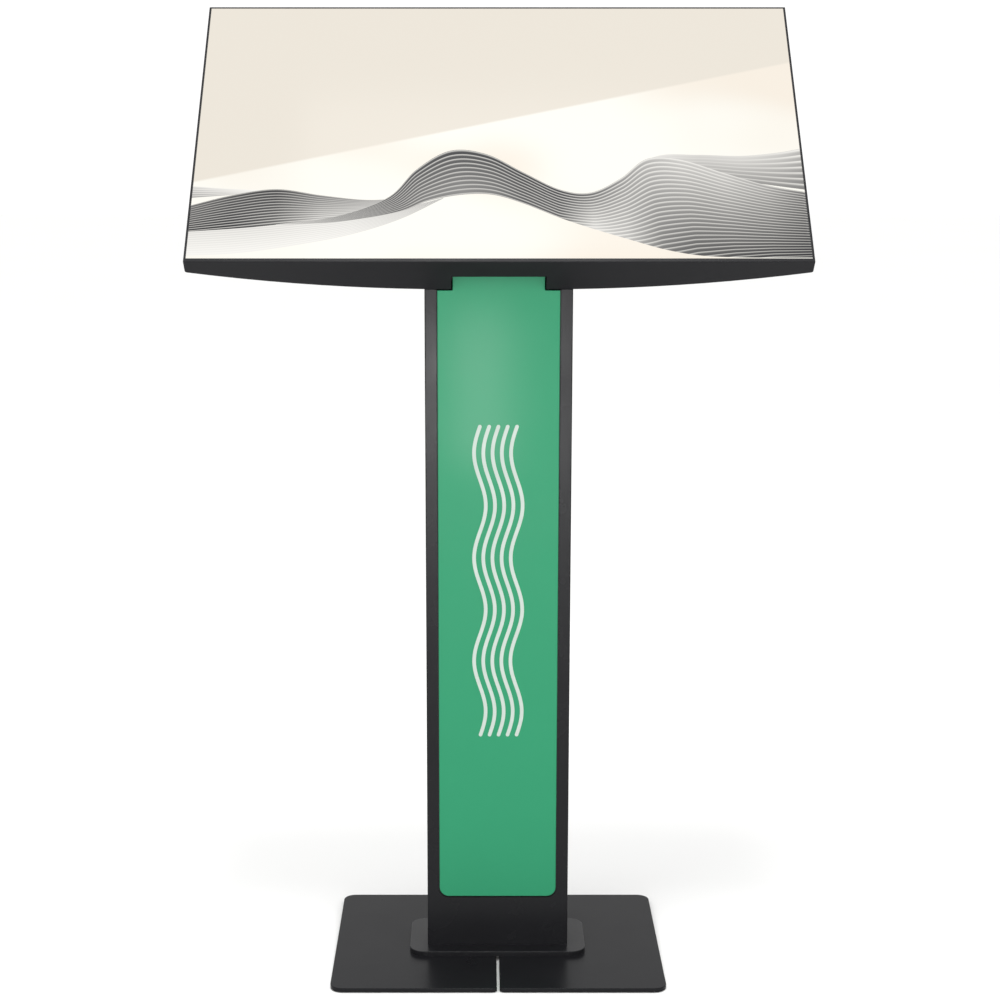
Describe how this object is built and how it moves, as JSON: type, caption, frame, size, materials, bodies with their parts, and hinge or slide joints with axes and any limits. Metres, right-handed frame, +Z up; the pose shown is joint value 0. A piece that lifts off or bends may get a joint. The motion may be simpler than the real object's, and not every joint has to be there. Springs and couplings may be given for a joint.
{
  "type": "touchscreen kiosk",
  "caption": "Free-standing touchscreen kiosk: bowed display head at 45 degrees on a slim column with a coloured front panel and a split base plate.",
  "frame": {"origin": "middle of the whole kiosk on the floor, at the underside of the base pads", "axes": "+Z up, +X to the visitor's right, +Y from the visitor towards the back"},
  "size_m": [0.726, 0.4067, 1.1606],
  "materials": {
    "aluminium": "mill finish",
    "black_plastic": "moulded",
    "black_rubber": "moulded",
    "brass": "nickel-plated brass",
    "chrome": "plated",
    "circuit_board": "soldered board",
    "foam": "closed-cell foam",
    "green_acrylic": "green acrylic sheet",
    "lcd_metal": "pressed rear tray of the display",
    "plate_steel": "satin black powder coat, fine texture",
    "powder_coated_steel": "satin black powder coat",
    "screen_glass": "toughened glass over a lit picture",
    "stainless": "stainless",
    "vinyl_graphic": "pale cut vinyl",
    "zinc_plated_steel": "bright zinc plate"
  },
  "bodies": {
    "root": {"base_pads": "black_rubber", "base_plate_left": "plate_steel", "base_plate_right": "plate_steel", "base_screws": "zinc_plated_steel", "brand_panel": "green_acrylic", "button_bezel": "chrome", "button_switch": "black_plastic", "column_foot_flange": "zinc_plated_steel", "column_shell": "powder_coated_steel", "column_top_plate": "zinc_plated_steel", "cover_screws": "stainless", "door_stop_frame": "zinc_plated_steel", "foot_bolts": "zinc_plated_steel", "foot_plate": "plate_steel", "glass_carrier": "aluminium", "glass_gasket": "foam", "head_bolts": "zinc_plated_steel", "head_housing": "powder_coated_steel", "head_power_lead": "black_rubber", "head_power_supply": "zinc_plated_steel", "hinge_leaves_column": "stainless", "hinge_pins": "stainless", "inlet_lead": "black_rubber", "inlet_module": "black_plastic", "inlet_pins": "brass", "inlet_screws": "stainless", "lcd_crossbars": "aluminium", "lcd_driver_board": "circuit_board", "lcd_panel": "lcd_metal", "lcd_screws": "zinc_plated_steel", "lead_saddles": "black_plastic", "lock_keeper": "zinc_plated_steel", "media_player": "aluminium", "neck_edge_trim": "black_rubber", "neck_gussets": "zinc_plated_steel", "network_coupler": "black_plastic", "network_lead": "black_rubber", "panel_backing": "zinc_plated_steel", "panel_graphic": "vinyl_graphic", "power_block": "black_plastic", "service_cover_left": "powder_coated_steel", "service_cover_right": "powder_coated_steel", "speaker_left": "black_plastic", "speaker_right": "black_plastic", "spine_plate": "zinc_plated_steel", "spine_screws": "stainless", "touch_controller": "circuit_board", "touch_glass": "screen_glass"},
    "service_door": {"column_door": "powder_coated_steel", "hinge_leaves_door": "stainless", "lock_barrel": "chrome", "lock_nut": "zinc_plated_steel"},
    "door_lock": {"lock_core": "chrome"},
    "mains_switch": {"rocker_switch": "black_plastic"},
    "power_key": {"power_button": "chrome"}
  },
  "joints": [
    {"name": "service_door_hinge", "type": "hinge", "parent": "root", "child": "service_door", "pos_m": [-0.068, -0.02553, 0.425], "axis": [0, 0, 1], "range_deg": [0, 110]},
    {"name": "door_lock_turn", "type": "hinge", "parent": "service_door", "child": "door_lock", "pos_m": [0.045, -0.02903, 0.425], "axis": [0, -1, 0], "range_deg": [0, 90]},
    {"name": "mains_rocker", "type": "hinge", "parent": "root", "child": "mains_switch", "pos_m": [0.0145, -0.03104, 0.08], "axis": [1, 0, 0], "range_deg": [0, 20]},
    {"name": "power_button_press", "type": "slide", "parent": "root", "child": "power_key", "axis": [0.0344, -0.7067, 0.7067], "range_m": [0, 0.0015], "stiffness_N_per_m": 1500}
  ]
}
